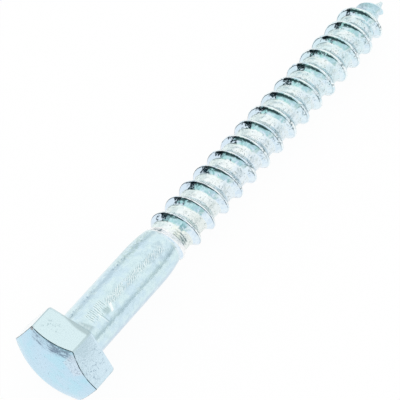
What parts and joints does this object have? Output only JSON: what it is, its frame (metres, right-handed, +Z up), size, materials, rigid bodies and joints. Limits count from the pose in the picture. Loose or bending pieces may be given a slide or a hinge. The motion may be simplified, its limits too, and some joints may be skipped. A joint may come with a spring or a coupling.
{
  "type": "lag screw",
  "caption": "Hexagon head wood screw with a plain shank and a coarse right-hand thread running into a gimlet point, lying at rest.",
  "frame": {"origin": "on the surface that the screw lies on, under the middle of its bounding box", "axes": "+X along the screw from head to point (the axis dips about 2 degrees towards the point), +Z up, +Y to the left of someone looking along +X"},
  "size_m": [0.0866, 0.0146, 0.0129],
  "materials": {
    "zinc_plated_steel": "bright zinc plate with a pale blue cast over steel, satin on head and shank, glossier on the rolled thread, small scuffs"
  },
  "bodies": {
    "root": {"lag_screw": "zinc_plated_steel"}
  },
  "joints": []
}
